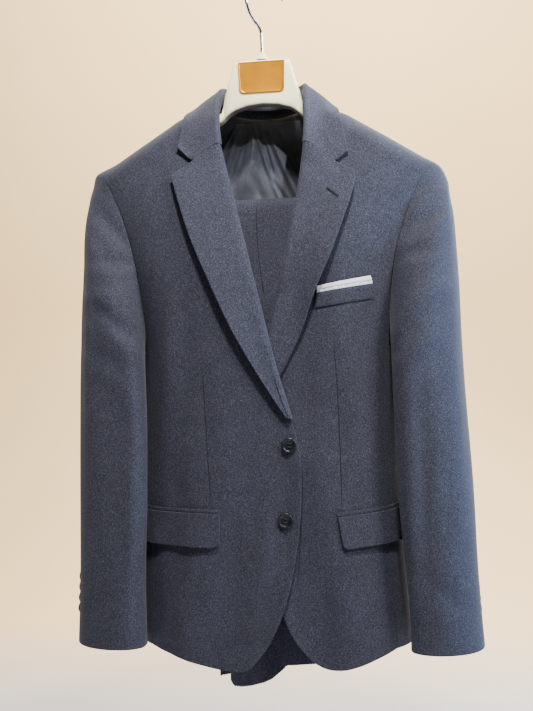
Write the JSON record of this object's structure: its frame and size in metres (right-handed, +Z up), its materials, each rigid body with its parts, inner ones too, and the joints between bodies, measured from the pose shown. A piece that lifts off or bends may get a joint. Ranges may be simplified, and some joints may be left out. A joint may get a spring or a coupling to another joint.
{
  "type": "two-piece suit on a hanger",
  "caption": "Single-breasted notch-lapel jacket of dark heathered cloth on a wide-shouldered hanger, with matching trousers folded over the bar inside it.",
  "frame": {"origin": "inside top of the hook's loop, where a rail carries the whole suit", "axes": "+Z up along the hook, -Y towards the front of the jacket, +X towards the wearer's left"},
  "size_m": [0.5526, 0.1866, 0.9686],
  "materials": {
    "back_left": "matte heathered worsted",
    "back_lining": "dark satin",
    "back_right": "matte heathered worsted",
    "breast_welt": "matte heathered worsted",
    "button_lower": "dark horn-like gloss",
    "button_upper": "dark horn-like gloss",
    "collar": "matte heathered worsted",
    "cuff_button_left_1": "dark horn-like gloss",
    "cuff_button_left_2": "dark horn-like gloss",
    "cuff_button_left_3": "dark horn-like gloss",
    "cuff_button_left_4": "dark horn-like gloss",
    "cuff_button_right_1": "dark horn-like gloss",
    "cuff_button_right_2": "dark horn-like gloss",
    "cuff_button_right_3": "dark horn-like gloss",
    "cuff_button_right_4": "dark horn-like gloss",
    "flap_left": "matte heathered worsted",
    "flap_right": "matte heathered worsted",
    "front_left": "matte heathered worsted",
    "front_right": "matte heathered worsted",
    "hanger_bar": "gloss cream",
    "hanger_body": "gloss cream",
    "hanger_ferrule": "gloss",
    "hanger_hook": "polished",
    "hanger_plate": "satin gold-coloured metal",
    "jetting_left": "matte heathered worsted",
    "jetting_right": "matte heathered worsted",
    "lapel_left": "matte heathered worsted",
    "lapel_right": "matte heathered worsted",
    "pocket_square": "matte white",
    "side_left": "matte heathered worsted",
    "side_right": "matte heathered worsted",
    "sleeve_top_left": "matte heathered worsted",
    "sleeve_top_right": "matte heathered worsted",
    "sleeve_under_left": "matte heathered worsted",
    "sleeve_under_right": "matte heathered worsted",
    "trouser_leg_inner": "matte heathered worsted",
    "trouser_leg_outer": "matte heathered worsted",
    "trouser_seat": "matte heathered worsted",
    "trouser_waistband": "matte heathered worsted"
  },
  "bodies": {
    "root": {"back_left": "back_left", "back_lining": "back_lining", "back_right": "back_right", "breast_welt": "breast_welt", "button_lower": "button_lower", "button_upper": "button_upper", "collar": "collar", "cuff_button_left_1": "cuff_button_left_1", "cuff_button_left_2": "cuff_button_left_2", "cuff_button_left_3": "cuff_button_left_3", "cuff_button_left_4": "cuff_button_left_4", "cuff_button_right_1": "cuff_button_right_1", "cuff_button_right_2": "cuff_button_right_2", "cuff_button_right_3": "cuff_button_right_3", "cuff_button_right_4": "cuff_button_right_4", "flap_left": "flap_left", "flap_right": "flap_right", "front_left": "front_left", "front_right": "front_right", "hanger_bar": "hanger_bar", "hanger_body": "hanger_body", "hanger_ferrule": "hanger_ferrule", "hanger_hook": "hanger_hook", "hanger_plate": "hanger_plate", "jetting_left": "jetting_left", "jetting_right": "jetting_right", "lapel_left": "lapel_left", "lapel_right": "lapel_right", "pocket_square": "pocket_square", "side_left": "side_left", "side_right": "side_right", "sleeve_top_left": "sleeve_top_left", "sleeve_top_right": "sleeve_top_right", "sleeve_under_left": "sleeve_under_left", "sleeve_under_right": "sleeve_under_right", "trouser_leg_inner": "trouser_leg_inner", "trouser_leg_outer": "trouser_leg_outer", "trouser_seat": "trouser_seat", "trouser_waistband": "trouser_waistband"}
  },
  "joints": []
}
